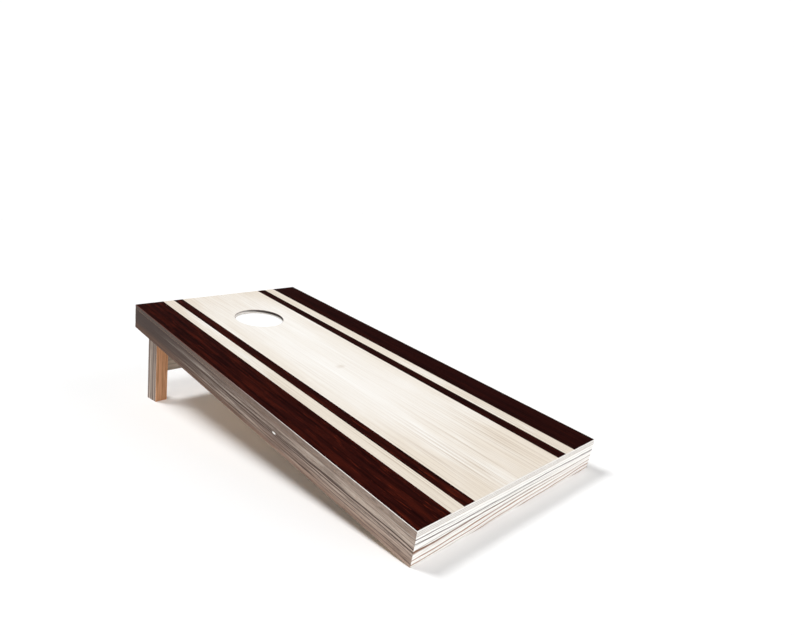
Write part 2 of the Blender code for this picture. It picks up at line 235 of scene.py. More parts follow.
def block(name, low, high):
    """A square-edged box between two corners."""
    bpy.ops.object.select_all(action="DESELECT")
    bpy.ops.mesh.primitive_cube_add(size=1, location=(low + high) / 2, scale=high - low)
    return added(name)


def aim(direction):
    """The turn that points Z along a direction."""
    return Vector(direction).to_track_quat("Z", "Y").to_euler()


def turned(add, name, start, end, **settings):
    """A round primitive between two points."""
    bpy.ops.object.select_all(action="DESELECT")
    start, end = Vector(start), Vector(end)
    way = end - start
    add(depth=way.length, location=(start + end) / 2, rotation=aim(way), **settings)
    return added(name)


def rod(name, start, end, radius, sides=32):
    add = bpy.ops.mesh.primitive_cylinder_add
    return turned(add, name, start, end, vertices=sides, radius=radius)


def cone(name, start, end, first, second, sides=32):
    add = bpy.ops.mesh.primitive_cone_add
    return turned(add, name, start, end, vertices=sides, radius1=first, radius2=second)


def on_pivot(x):
    """A place on the line that the legs turn about."""
    return Vector((x, PIVOT.y, PIVOT.z))


def pick(piece, kind, wanted):
    """Edit mode with only the corners (VERT), edges (EDGE) or faces (FACE) that wanted() accepts selected."""
    alone(piece)
    bpy.ops.object.mode_set(mode="EDIT")
    bpy.ops.mesh.select_mode(type=kind)
    bpy.ops.mesh.select_all(action="DESELECT")
    shape = bmesh.from_edit_mesh(piece.data)
    shape.normal_update()
    kinds = {"VERT": shape.verts, "EDGE": shape.edges, "FACE": shape.faces}
    found = [part for part in kinds[kind] if wanted(part)]
    if not found:
        raise RuntimeError(f"{piece.name} has nothing of kind {kind} to select")
    for part in found:
        part.select_set(True)
    bmesh.update_edit_mesh(piece.data)


def pick_all(piece):
    alone(piece)
    bpy.ops.object.mode_set(mode="EDIT")
    bpy.ops.mesh.select_all(action="SELECT")


def leave():
    bpy.ops.object.mode_set(mode="OBJECT")


def resized(scale, centre):
    """Scales what is selected, and leaves edit mode."""
    bpy.ops.transform.resize(value=scale, center_override=centre)
    leave()


def middle(edge):
    return (edge.verts[0].co + edge.verts[1].co) / 2


def runs(edge, axis):
    """True if an edge lies along X (0), Y (1) or Z (2)."""
    span = edge.verts[1].co - edge.verts[0].co
    return abs(span[axis]) > 0.999 * span.length


def ease(piece, rounding, wanted=lambda edge: edge.calc_face_angle(0) > radians(50), segments=3):
    """Rounds the edges that wanted() accepts, or every sharp edge."""
    pick(piece, "EDGE", wanted)
    bpy.ops.mesh.bevel(offset=rounding, segments=segments, affect="EDGES", clamp_overlap=True)
    leave()


def bisected(piece, place, normal):
    """Cuts a piece by a plane, and keeps the part behind the plane's normal."""
    pick_all(piece)
    bpy.ops.mesh.bisect(plane_co=place, plane_no=normal, use_fill=True, clear_outer=True)
    leave()


def applied(piece, kind, **settings):
    """Adds a modifier to a piece, sets it and applies it."""
    alone(piece)
    bpy.ops.object.modifier_add(type=kind)
    modifier = piece.modifiers[-1]
    for name, value in settings.items():
        setattr(modifier, name, value)
    bpy.ops.object.modifier_apply(modifier=modifier.name)


def combine(piece, *others, operation="DIFFERENCE"):
    """Cuts other shapes from a piece, or joins or intersects them with it, and removes them."""
    for other in others:
        applied(piece, "BOOLEAN", operation=operation, solver="EXACT", object=other)
        bpy.data.objects.remove(other, do_unlink=True)


def bored(piece, low, high, radius, sides=32):
    """Bores a piece through along the pivot's line."""
    combine(piece, rod("bore", on_pivot(low - BEYOND), on_pivot(high + BEYOND), radius, sides))


def tidied(piece):
    """Merges doubles and turns all faces outwards."""
    pick_all(piece)
    bpy.ops.mesh.remove_doubles(threshold=1e-6)
    bpy.ops.mesh.normals_make_consistent(inside=False)
    leave()


def shaded(piece, angle=35, weighted=True):
    alone(piece)
    bpy.ops.object.shade_smooth_by_angle(angle=radians(angle))
    if weighted:
        applied(piece, "WEIGHTED_NORMAL", keep_sharp=True)


def finished(piece, materials):
    """Gives a piece its materials, as a list of (material, the faces that take it)."""
    piece.data.materials.clear()
    for material, _ in materials:
        piece.data.materials.append(material)
    for index, (_, wanted) in enumerate(materials):
        if wanted is None:
            continue
        pick(piece, "FACE", wanted)
        piece.active_material_index = index
        bpy.ops.object.material_slot_assign()
        leave()


def moved(piece, matrix):
    """Moves a piece, and puts the move in its mesh."""
    alone(piece)
    piece.matrix_world = matrix
    bpy.ops.object.transform_apply(location=True, rotation=True, scale=True)


def standing(place, way):
    """The move that puts the origin at a place and Z along a direction."""
    return Matrix.Translation(place) @ aim(way).to_matrix().to_4x4()


def settle(piece, body, node):
    """Tilts a finished piece into place, ties it to its CAD body and hides the CAD node that it stands for.
    """
    moved(piece, BOARD)
    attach(piece, body)
    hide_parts(node)


def complete(piece, look, body, node, angle=35, weighted=True):
    """Smooths a piece, gives it one material and settles it."""
    shaded(piece, angle, weighted)
    finished(piece, [(look, None)])
    settle(piece, body, node)


def copied(piece, name, matrix):
    """A copy with its own mesh, moved by a matrix in the board's gauge."""
    alone(piece)
    bpy.ops.object.duplicate(linked=False)
    copy = bpy.context.active_object
    copy.name = name
    moved(copy, matrix)
    return copy


# Materials


class Flow:
    """A socket of a material's nodes. Arithmetic on it adds Math nodes."""

    def __init__(self, finish, socket):
        self.finish = finish
        self.socket = socket

    def out(self, key):
        """Another output of the same node."""
        return Flow(self.finish, self.socket.node.outputs[key])

    def maths(self, operation, *values):
        return self.finish.add("ShaderNodeMath", {"operation": operation}, dict(enumerate(values)))

    def __add__(self, other):
        return self.maths("ADD", self, other)

    def __radd__(self, other):
        return self.maths("ADD", other, self)

    def __sub__(self, other):
        return self.maths("SUBTRACT", self, other)

    def __rsub__(self, other):
        return self.maths("SUBTRACT", other, self)

    def __mul__(self, other):
        return self.maths("MULTIPLY", self, other)

    def __rmul__(self, other):
        return self.maths("MULTIPLY", other, self)

    def __truediv__(self, other):
        return self.maths("DIVIDE", self, other)

    def __rtruediv__(self, other):
        return self.maths("DIVIDE", other, self)

    def __abs__(self):
        return self.maths("ABSOLUTE", self)


class Finish:
    """The nodes of a material or a world. add() makes any node, and the rest are built on it."""

    def __init__(self, name, world=False):
        self.owner = (bpy.data.worlds if world else bpy.data.materials).new(name)
        self.owner.use_nodes = True
        self.tree = self.owner.node_tree
        self.shader = self.tree.nodes["Background" if world else "Principled BSDF"]

    def add(self, kind, settings=None, inputs=None, output=0):
        """A node of a kind, with its settings first and then the values or links of its sockets."""
        node = self.tree.nodes.new(kind)
        for name, value in (settings or {}).items():
            if name == "stops":
                for stop, (position, shade) in zip(node.color_ramp.elements, value):
                    stop.position = position
                    stop.color = (*shade, 1)
            else:
                setattr(node, name, value)
        self.plug(node, inputs or {})
        return Flow(self, node.outputs[output])

    def plug(self, node, inputs):
        for key, value in inputs.items():
            socket = node.inputs[key]
            if isinstance(value, Flow):
                self.tree.links.new(value.socket, socket)
            elif socket.type == "RGBA" and len(value) == 3:
                socket.default_value = (*value, 1)
            else:
                socket.default_value = value

    def place(self):
        """Object coordinates, turned to the board's gauge."""
        spot = self.add("ShaderNodeTexCoord", output="Object")
        inputs = {"Vector": spot, "Location": BOARD_ORIGIN, "Rotation": (TILT, 0, 0)}
        return self.add("ShaderNodeMapping", {"vector_type": "TEXTURE"}, inputs)

    def gauge(self):
        """Place in the board's gauge, followed by its X, Y and Z."""
        place = self.place()
        return place, *self.parts(place)

    def facing(self):
        """X, Y and Z of the surface's own normal in the board's gauge."""
        normal = self.add("ShaderNodeTexCoord", output="Normal")
        inputs = {"Vector": normal, "Rotation": (-TILT, 0, 0)}
        return self.parts(self.add("ShaderNodeMapping", {"vector_type": "NORMAL"}, inputs))

    def parts(self, vector):
        """X, Y and Z of a vector."""
        x = self.add("ShaderNodeSeparateXYZ", inputs={0: vector})
        return x, x.out(1), x.out(2)

    def joined(self, x, y, z):
        return self.add("ShaderNodeCombineXYZ", inputs={0: x, 1: y, 2: z})

    def noise(self, vector, stretch, detail=3, rough=0.5, shift=(0, 0, 0), bend=0.0):
        """Noise from 0 to 1, with its cells stretched: stretch is how many fit in a metre each way."""
        inputs = {0: vector, 1: stretch, 2: shift}
        spot = self.add("ShaderNodeVectorMath", {"operation": "MULTIPLY_ADD"}, inputs)
        inputs = {"Vector": spot, "Scale": 1, "Detail": detail, "Roughness": rough, "Distortion": bend}
        return self.add("ShaderNodeTexNoise", inputs=inputs)

    def fade(self, value, start, end):
        """0 before start, 1 after end, and smooth between. End may be the lower one."""
        inputs = {"Value": value, "From Min": start, "From Max": end}
        return self.add("ShaderNodeMapRange", {"interpolation_type": "SMOOTHSTEP"}, inputs)

    def mix(self, share, first, second):
        """The first colour turning into the second as share goes from 0 to 1."""
        inputs = {0: share, 6: first, 7: second}
        return self.add("ShaderNodeMix", {"data_type": "RGBA"}, inputs, output=2)

    def near(self, vector, spot, reach):
        """1 at a spot, falling to 0 at reach, which is given each way."""
        inputs = {0: vector, 1: spot}
        offset = self.add("ShaderNodeVectorMath", {"operation": "SUBTRACT"}, inputs)
        inputs = {0: offset, 1: tuple(1 / size for size in reach)}
        offset = self.add("ShaderNodeVectorMath", {"operation": "MULTIPLY"}, inputs)
        distance = self.add("ShaderNodeVectorMath", {"operation": "LENGTH"}, {0: offset}, output="Value")
        return self.fade(distance, 1, 0.1)

    def growth(self, across, along, seed, spacing, waver=0.8, sharp=0.55):
        """Latewood lines from 0 to 1, spaced across a board and wandering along it."""
        spot = self.joined(across, along, seed)
        slow = self.noise(spot, (14, 3.2, 1), detail=2)
        quick = self.noise(spot, (60, 11, 1), detail=2, shift=(3, 5, 7))
        rings = across / spacing + (slow - 0.5) * (waver * 4) + (quick - 0.5) * waver
        phase = rings.maths("FRACT", rings)
        line = self.fade(phase, sharp, 0.93) * self.fade(phase, 1.0, 0.94)
        count = rings.maths("FLOOR", rings)
        weight = self.noise(self.joined(count, along, seed), (7.7, 1.5, 1), detail=0)
        return line * self.fade(weight, 0.32, 0.58)

    def bumped(self, height, strength, distance):
        inputs = {"Height": height, "Strength": strength, "Distance": distance}
        return self.add("ShaderNodeBump", inputs=inputs)

    def done(self, colour, roughness, normal=None, **constants):
        """Feeds the shader, and sets what is the same all over on its own sockets."""
        inputs = {"Base Color": colour, "Roughness": roughness}
        if normal is not None:
            inputs["Normal"] = normal
        inputs.update({name.replace("_", " "): value for name, value in constants.items()})
        self.plug(self.shader, inputs)
        return self.owner

    def planed(self, wood, fine, line, sunk=0.6, strength=0.35, distance=0.0005):
        """Planed wood: fibres roughen it, and its latewood lines lie sunk."""
        normal = self.bumped(fine - line * sunk, strength, distance)
        return self.done(wood, 0.60 + fine * 0.2, normal, Specular_IOR_Level=WOOD_SHEEN)


def stain_with_painted_shade(finish, along):
    """The stained sides' ground, pale at the foot from painted light and deep at the head from painted shade.
    """
    paints = colours()
    ground = finish.mix(finish.fade(along, 0.02, 0.5), paints.stain_painted_light, paints.stain)
    return finish.mix(finish.fade(along, 0.35, 1.15), ground, paints.stain_painted_shade)


def bare_inside(finish, outside, wood, line, fine):
    """Wood on the outer face, and plain pine on the faces within the frame."""
    paints = colours()
    bare = finish.mix(line, paints.pine, paints.pine_grain)
    bare = finish.mix(finish.fade(fine, 0.5, 0.75) * 0.3, bare, paints.pine_grain)
    return finish.mix(outside, bare, wood)


def fibres(finish, vector, along, seed=0.0):
    """Short fibres along one way of a board: 0 is X, 1 is Y and 2 is Z."""
    stretch = [420] * 3
    stretch[along] = 11
    return finish.noise(vector, tuple(stretch), detail=4, rough=0.6, shift=(seed, seed, seed))


def printed_face(name):
    """Mahogany bands and whitewashed boards, under satin varnish."""
    finish = Finish(name)
    paints = colours()
    gauge = sizes()
    _, x, v, _ = finish.gauge()
    side = abs(x)
    flat = finish.joined(x, v, 0.0)

    edge = 0.0005
    starts = finish.fade(side, gauge.inner_stripe_start, gauge.inner_stripe_start + edge)
    ends = finish.fade(side, gauge.inner_stripe_end, gauge.inner_stripe_end + edge)
    outer = finish.fade(side, gauge.outer_band_start, gauge.outer_band_start + edge)
    dark = starts - ends + outer

    fine = finish.noise(flat, (900, 26, 1), detail=3, rough=0.6)
    streak = finish.noise(flat, (130, 1.5, 1), detail=5, rough=0.65, bend=0.2)
    ribbon = finish.noise(flat, (60, 6, 1), detail=4, rough=0.6, shift=(11, 3, 0), bend=0.3)
    flame = finish.noise(flat, (200, 16, 1), detail=5, rough=0.66, shift=(4, 9, 0), bend=0.35)
    left = finish.fade(x, 0.25, -0.1)
    foot = finish.fade(v, 0.5, 0.02)
    head = finish.fade(v, 0.85, 1.2)
    red = finish.mix(finish.fade(streak, 0.34, 0.64), paints.mahogany_deep, paints.mahogany)
    red = finish.mix(finish.fade(ribbon, 0.42, 0.72) * (0.08 + 0.16 * left), red, paints.mahogany_red)
    glow = finish.fade(flame, 0.54, 0.74) * (0.20 + 0.22 * left + 0.75 * left * foot + 0.25 * left * head)
    red = finish.mix(glow, red, paints.mahogany_red)
    shade = finish.fade(fine, 0.50, 0.72) * 0.55 + finish.fade(x, 0.0, 0.25) * 0.35
    red = finish.mix(shade, red, paints.mahogany_deep)
    across = finish.joined(side, 0.0, 0.0)
    borders = (gauge.inner_stripe_start, gauge.inner_stripe_end, gauge.outer_band_start)
    rims = sum(finish.near(across, (border, 0, 0), (0.0022, 1, 1)) for border in borders)
    red = finish.mix(rims * 0.35, red, paints.mahogany_deep)

    lines = finish.noise(flat, (430, 2.6, 1), detail=4, rough=0.55, shift=(7, 2, 0))
    board = finish.growth(x, v, 4.0, 0.0135, waver=0.30, sharp=0.35)
    blotch = finish.noise(flat, (13, 2.6, 1), detail=4, rough=0.6, shift=(2, 6, 0))
    wide = finish.fade(side, 0.05, 0.146)
    ends_warm = finish.fade(v, 0.45, 0.0) + finish.fade(v, 0.95, 1.22) * 0.6
    stripe = finish.fade(side, gauge.inner_stripe_end - edge, gauge.inner_stripe_end)
    warm = 0.30 + wide * 0.40 + ends_warm * 0.70 + stripe * 0.60
    cream = finish.mix(warm * finish.fade(blotch, 0.15, 0.65), paints.whitewash, paints.whitewash_warm)
    weight = 0.22 + 0.55 * ends_warm + 0.20 * stripe
    grain = finish.fade(lines, 0.46, 0.66) * weight * 1.2 + board * (0.07 + 0.20 * ends_warm)
    cream = finish.mix(grain, cream, paints.whitewash_grain)
    knots = finish.near(flat, (0.004, 0.575, 0), (0.022, 0.014, 1)) * finish.fade(blotch, 0.3, 0.6) * 0.7
    for spot, reach in (((0.085, 0.12, 0), (0.02, 0.10, 1)), ((-0.045, 0.065, 0), (0.014, 0.055, 1))):
        knots = knots + finish.near(flat, spot, reach) * finish.fade(lines, 0.42, 0.6) * 0.75
    cream = finish.mix(knots, cream, paints.whitewash_grain)

    colour = finish.mix(dark, cream, red)
    normal = finish.bumped(fine * 0.4 + lines * 0.6, 0.12, 0.0003)
    return finish.done(colour, 0.56 + fine * 0.16, normal, Specular_IOR_Level=0.01)


def ply_edge(name):
    """Sanded plies at the deck's edges, with a painted highlight along the eased line where they meet the
    printed face, pale towards the foot and red towards the head. The sides take the rails' painted light and
    shade, and the foot face takes the foot rail's painted light.
    """
    finish = Finish(name)
    paints = colours()
    place, _, v, n = finish.gauge()
    ends = finish.fade(finish.facing()[1], -0.45, -0.75)
    height = (n - DECK_LOW.z) / (DECK_HIGH.z - DECK_LOW.z) * sizes().plies
    waver = finish.noise(place, (16, 16, 40), detail=2) * 0.35
    layer = height + waver
    glue = finish.fade(abs(layer.maths("FRACT", layer) - 0.5), 0.41, 0.49)
    odd = layer.maths("PINGPONG", layer, 1.0)
    grain = finish.noise(place, (60, 60, 900), detail=4, rough=0.6)
    end_wood = finish.mix(finish.fade(grain, 0.45, 0.75) * 0.35, paints.bleached, paints.whitewash_grain)
    dark = 0.25 + finish.fade(grain, 0.4, 0.7) * 0.5
    side_wood = finish.mix(dark, stain_with_painted_shade(finish, v), paints.stain_grain)
    wood = finish.mix(ends, side_wood, end_wood)
    wood = finish.mix(finish.fade(odd, 0.45, 0.8) * (0.30 + 0.40 * ends), wood, paints.ply_glue)
    wood = finish.mix(glue * 0.8, wood, paints.ply_glue)
    # Painted highlight along the eased top of the edge, pale at the foot end and reddening towards the head.
    painted_highlight = finish.fade(n, DECK_HIGH.z - 0.0013, DECK_HIGH.z - 0.0006)
    highlight_colour = finish.mix(finish.fade(v, 0.20, 0.75) * (1 - ends), paints.bleached, paints.mahogany_red)
    wood = finish.mix(painted_highlight * 0.75, wood, highlight_colour)
    normal = finish.bumped(grain - glue * 0.5, 0.25, 0.0004)
    return finish.done(wood, 0.62 + grain * 0.15, normal, Specular_IOR_Level=WOOD_SHEEN)


def sealed_wall(name):
    """The bag hole's wall: pale plies, with painted shade reaching down from the rim, further on the right.
    """
    finish = Finish(name)
    paints = colours()
    place, x, _, n = finish.gauge()
    height = (n - DECK_LOW.z) / (DECK_HIGH.z - DECK_LOW.z) * sizes().plies
    phase = height.maths("FRACT", height)
    glue = finish.fade(abs(phase - 0.5), 0.38, 0.48)
    grain = finish.noise(place, (90, 90, 700), detail=3)
    bare = finish.mix(finish.fade(grain, 0.35, 0.75) * 0.4, paints.bleached, paints.whitewash_grain)
    bare = finish.mix(glue * 0.35, bare, paints.ply_glue)
    # Painted shade: a dark band from the rim down, deeper on the right side.
    rim_shade = finish.mix(finish.fade(grain, 0.35, 0.75), paints.hole_rim_shade, paints.stain_grain)
    right = finish.fade(x, -0.07, 0.07)
    rim = DECK_HIGH.z - 0.0022 - right * 0.0060
    wood = finish.mix(finish.fade(n - rim, -0.0015, 0.0015) * (0.45 + right * 0.55), bare, rim_shade)
    normal = finish.bumped(grain, 0.25, 0.0003)
    return finish.done(wood, 0.5 + grain * 0.15, normal, Specular_IOR_Level=WOOD_SHEEN)


def plain_ply(name):
    """The deck's underside: bare rotary-cut veneer."""
    finish = Finish(name)
    paints = colours()
    place, x, _, _ = finish.gauge()
    sweep = finish.noise(place, (3.0, 0.9, 1), detail=2, shift=(5, 1, 0))
    rings = x * 16 + sweep * 9
    rings = rings.maths("FRACT", rings)
    line = finish.fade(rings, 0.4, 0.95) * finish.fade(rings, 1.0, 0.96)
    fine = fibres(finish, place, 1, seed=3.0)
    wood = finish.mix(line * 0.5, paints.ply_back, paints.pine_grain)
    wood = finish.mix(finish.fade(fine, 0.5, 0.75) * 0.35, wood, paints.pine_grain)
    cloud = finish.noise(place, (5, 2, 1), detail=3)
    wood = finish.mix(finish.fade(cloud, 0.4, 0.7) * 0.3, wood, paints.whitewash_warm)
    normal = finish.bumped(fine - line * 0.3, 0.3, 0.0004)
    return finish.done(wood, 0.62 + fine * 0.18, normal, Specular_IOR_Level=WOOD_SHEEN)


def stained_rail(name):
    """A side rail: long grain outside on a grey-brown ground, painted far darker than the foot rail as
    painted shade, paler near the foot and darkest at the head; plain pine inside.
    """
    finish = Finish(name)
    paints = colours()
    place, x, v, n = finish.gauge()
    outside = finish.fade(finish.facing()[0] * x, 0.08, 0.2)
    fine = fibres(finish, place, 1)
    speck = finish.noise(finish.joined(0.0, v, n), (1, 110, 420), detail=3, rough=0.6)
    line = finish.growth(n, v, 2.0, 0.0085, waver=0.22, sharp=0.45)
    hair = finish.growth(n, v, 8.0, 0.0034, waver=0.20, sharp=0.62)
    ground = stain_with_painted_shade(finish, v)
    band = finish.noise(finish.joined(0.0, v, n), (1, 2.2, 95), detail=4, rough=0.6, shift=(0, 2, 4))
    # Pale streaks along the grain, strongest near the foot: partly grain, partly painted highlight.
    pale = finish.fade(abs(n - 0.046), 0.014, 0.004) * finish.fade(speck, 0.35, 0.65)
    streaks_and_highlight = finish.fade(band, 0.5, 0.68) * 0.65 + pale * 0.34
    ground = finish.mix(streaks_and_highlight * finish.fade(v, 1.20, 0.10), ground, paints.whitewash_warm)
    under = finish.fade(band, 0.50, 0.32) * 0.50 + finish.fade(n, 0.055, 0.064) * 0.34
    ground = finish.mix(under, ground, paints.stain_grain)
    low = finish.fade(n, 0.032, 0.004)
    ground = finish.mix(low * 0.24, ground, paints.bleached_grain)
    wander = (finish.noise(finish.joined(0.0, v, 0.0), (1, 4, 1), detail=2) - 0.5) * 0.020
    strong = finish.fade(abs(n + wander - 0.038), 0.0018, 0.0006)
    second = finish.fade(abs(n + wander * 1.4 - 0.024), 0.0015, 0.0003) * 0.6
    grain = line * 0.78 + hair * 0.34
    grain = grain + finish.fade(fine, 0.44, 0.60) * 0.45 + finish.fade(speck, 0.5, 0.7) * 0.2
    wood = finish.mix(grain, ground, paints.stain_grain)
    wood = finish.mix(strong + second, wood, paints.stain_grain)
    chip = finish.near(finish.joined(x, v, n), (-HALF_WIDTH, 0.428, 0.037), (0.004, 0.010, 0.0035))
    wood = finish.mix(finish.fade(chip + fine * 0.4, 0.5, 0.6), wood, paints.whitewash)
    wood = bare_inside(finish, outside, wood, line * 0.45, fine)
    return finish.planed(wood, fine, line)


def bleached_rail(name):
    """The foot rail: the frame's wood painted near white as painted light on the foot face, its brown grain
    climbing from left to right.
    """
    finish = Finish(name)
    paints = colours()
    place, x, _, n = finish.gauge()
    outside = finish.fade(finish.facing()[1], -0.3, -0.7)
    fine = fibres(finish, place, 0, seed=2.0)
    lower = finish.fade(n, 0.05, 0.015)
    climb = n - x * 0.050 * lower
    line = finish.growth(climb, x, 6.0, 0.0100, waver=0.38, sharp=0.62)
    hair = finish.growth(climb, x, 9.0, 0.0058, waver=0.36, sharp=0.70)
    tint = finish.mix(lower, paints.stain_grain, paints.bleached_grain)
    wood = finish.mix(line * 1.25 + hair * 0.55, paints.bleached, tint)
    wood = finish.mix(finish.fade(fine, 0.5, 0.75) * (0.08 + lower * 0.14), wood, paints.bleached_grain)
    wood = bare_inside(finish, outside, wood, line * 0.5, fine)
    return finish.planed(wood, fine, line, 0.5, 0.3, 0.0004)


def head_stain(name):
    """The head rail: the side rails' ground at its deep, painted-shade end, carried round the corners."""
    finish = Finish(name)
    paints = colours()
    place, x, _, n = finish.gauge()
    outside = finish.fade(finish.facing()[1], 0.3, 0.7)
    fine = fibres(finish, place, 0, seed=5.0)
    line = finish.growth(n + x * 0.02, x, 3.0, 0.0090, waver=0.3, sharp=0.35)
    ground = finish.mix(finish.noise(place, (2, 1, 60), detail=3), paints.stain_painted_shade, paints.stain)
    wood = finish.mix(line * 0.6 + finish.fade(fine, 0.48, 0.72) * 0.35, ground, paints.stain_grain)
    wood = bare_inside(finish, outside, wood, line * 0.5, fine)
    return finish.planed(wood, fine, line)


def bare_pine(name, along, seed):
    """Planed pine, with its grain along one way of the board."""
    finish = Finish(name)
    paints = colours()
    place, *ways = finish.gauge()
    others = [way for index, way in enumerate(ways) if index != along]
    fine = fibres(finish, place, along, seed=seed)
    line = finish.growth(others[0] + others[1] * 0.6, ways[along], seed, 0.0056, waver=0.25, sharp=0.30)
    cloud = finish.noise(place, (9, 9, 9), detail=2, shift=(seed, 0, 0))
    wood = finish.mix(line * 0.55, paints.pine, paints.pine_grain)
    wood = finish.mix(finish.fade(fine, 0.5, 0.75) * 0.35, wood, paints.pine_grain)
    wood = finish.mix(finish.fade(cloud, 0.4, 0.7) * 0.3, wood, paints.whitewash_warm)
    return finish.planed(wood, fine, line, 0.5)


def stained_leg(name, along, seed, warmth, painted_lift):
    """A leg or the crossbar: grey-brown sides, lifted towards pale as painted light where a part lies in
    shade, and front and back faces of a warmth.
    """
    finish = Finish(name)
    paints = colours()
    place, *ways = finish.gauge()
    front = finish.fade(abs(finish.facing()[1]), 0.55, 0.85) * warmth
    others = [way for index, way in enumerate(ways) if index != along]
    fine = fibres(finish, place, along, seed=seed)
    slow = finish.noise(place, tuple(2 if index == along else 25 for index in range(3)), detail=2)
    rings = (others[0] + others[1]) / 0.0150 + slow * 1.2
    line = finish.fade(abs(rings.maths("FRACT", rings) - 0.5), 0.26, 0.10)
    line = line * finish.fade(fine, 0.25, 0.62)
    pale = finish.noise(place, tuple(1.5 if index == along else 60 for index in range(3)), detail=3)
    grey = finish.mix(finish.fade(pale, 0.35, 0.65), paints.leg_grey, paints.leg_pale)
    grey = finish.mix(line * 0.95 + finish.fade(fine, 0.45, 0.7) * 0.30, grey, paints.stain_grain)
    # Painted light: the grey sides are lifted towards pale, on the crossbar that sits in shade.
    grey = finish.mix(painted_lift, grey, paints.whitewash_warm)
    warm = finish.mix(line * 0.35 + finish.fade(fine, 0.42, 0.70) * 0.60, paints.tan, paints.pine_grain)
    wood = finish.mix(front, grey, warm)
    return finish.planed(wood, fine, line)


def rubbed_edge(name):
    """Eased edges painted pale, a painted highlight where they catch the light."""
    finish = Finish(name)
    paints = colours()
    grain = finish.noise(finish.place(), (80, 80, 80), detail=4, rough=0.6)
    wood = finish.mix(finish.fade(grain, 0.45, 0.75) * 0.4, paints.whitewash, paints.pine)
    normal = finish.bumped(grain, 0.2, 0.0003)
    return finish.done(wood, 0.55 + grain * 0.2, normal, Specular_IOR_Level=WOOD_SHEEN)


def plated(name, metal, dull):
    """Plated metal with a faint cloud of fingering and fine scratches."""
    finish = Finish(name)
    place = finish.place()
    cloud = finish.noise(place, (160, 160, 160), detail=4, rough=0.6)
    scratch = finish.noise(place, (900, 2600, 1400), detail=2)
    colour = finish.mix(finish.fade(cloud, 0.4, 0.75) * 0.5, metal, tuple(part * dull for part in metal))
    roughness = 0.26 + cloud * 0.22
    return finish.done(colour, roughness, finish.bumped(scratch, 0.12, 0.0002), Metallic=1.0)


def studio_floor(name):
    """Matt white studio floor, with a breath of unevenness."""
    finish = Finish(name)
    paints = colours()
    place = finish.add("ShaderNodeTexCoord", output="Object")
    cloud = finish.noise(place, (0.7, 0.7, 0.7), detail=2)
    colour = finish.mix(cloud * 0.2, paints.floor, tuple(part * 0.985 for part in paints.floor))
    return finish.done(colour, 0.95 + cloud * 0.05, Specular_IOR_Level=0.0)


def material(name, recipe, *details):
    """A material by name, made by its recipe the first time."""
    return bpy.data.materials.get(name) or recipe(name, *details)


def steel():
    return material("zinc_plate", plated, tuple(colours().zinc), 0.72)


# Screws and their holes


def screw_line(node):
    """Head end and tip of a CAD screw, in the board's gauge."""
    points = np.array(gauge_points(node))
    centre = points.mean(0)
    way = np.linalg.svd(points - centre)[2][0]
    run = (points - centre) @ way
    reach = np.linalg.norm(points - centre - np.outer(run, way), axis=1)
    low, high = run.min(), run.max()
    head_low = reach[run < low + 0.003].max() > reach[run > high - 0.003].max()
    ends = (low, high) if head_low else (high, low)
    return [Vector(centre + end * way) for end in ends]


def drill_for(piece, *nodes, headed=True):
    """Cuts the holes of CAD screws: a slanted pocket or a countersink under a head, and a pilot hole."""
    gauge = sizes()
    slim = gauge.screw_diameter / 2 + GAP
    wide = gauge.screw_head_diameter / 2 + GAP
    for node in nodes:
        head, tip = screw_line(node)
        way = (tip - head).normalized()
        neck = head + way * (gauge.screw_head_height + GAP)
        combine(piece, rod("pilot", neck - way * GAP, tip + way * GAP, slim, 16))
        if not headed:
            continue
        if "block" in node:
            sink = cone("sink", head - way * GAP, neck, wide, slim, 24)
            mouth = rod("mouth", head - way * (MOUTH), head, wide, 24)
            combine(piece, mouth, sink)
        else:
            start = neck - way * POCKET_REACH
            combine(piece, rod("pocket", start, neck, gauge.pocket_diameter / 2, 24))


DECK_SCREWS = [node for node in frame["nodes"] if node.startswith("deck_screw")]
BRACE_SCREWS = [node for node in frame["nodes"] if node.startswith("brace_screw")]
BLOCK_SCREWS = [node for node in frame["nodes"] if node.endswith(("side_screw", "end_screw"))]


def thread(name, core, crest, start, end, pitch, steps=12):
    """A thread along Z between two heights, as a closed band."""
    bpy.ops.object.select_all(action="DESELECT")
    bpy.ops.mesh.primitive_circle_add(vertices=3, radius=(crest - core) * 0.75, fill_type="NOTHING")
    band = added(name)
    root = core * 0.93
    profile = ((root, -0.3), (crest, 0), (root, 0.3))
    for vertex, (reach, height) in zip(band.data.vertices, profile):
        vertex.co = (reach, 0, start + pitch * height)
    turns = max(1, int((end - start) / pitch))
    applied(band, "SCREW", axis="Z", screw_offset=pitch, iterations=turns, steps=steps, render_steps=steps)
    alone(band)
    bpy.ops.object.mode_set(mode="EDIT")
    bpy.ops.mesh.select_mode(type="EDGE")
    bpy.ops.mesh.select_all(action="DESELECT")
    bpy.ops.mesh.select_non_manifold()
    bpy.ops.mesh.fill()
    leave()
    tidied(band)
    return band


def drive_recess(width, depth):
    """A square driver's recess in a head's top, which is at 0 with the shank towards +Z."""
    half = width / 2
    return block("recess", Vector((-half, -half, -depth)), Vector((half, half, depth)))


def pan_screw(name, whole):
    """A pan-head pocket screw along +Z, from the head's crown at 0."""
    gauge = sizes()
    head = gauge.screw_head_height
    body = rod(name, (0, 0, 0), (0, 0, head), gauge.screw_head_diameter / 2)
    pick(body, "VERT", lambda corner: corner.co.z < NEAR)
    resized((0.66, 0.66, 1), (0, 0, 0))
    ease(body, head * 0.22, lambda edge: middle(edge).z < NEAR, 3)
    return with_shank(body, head, whole)


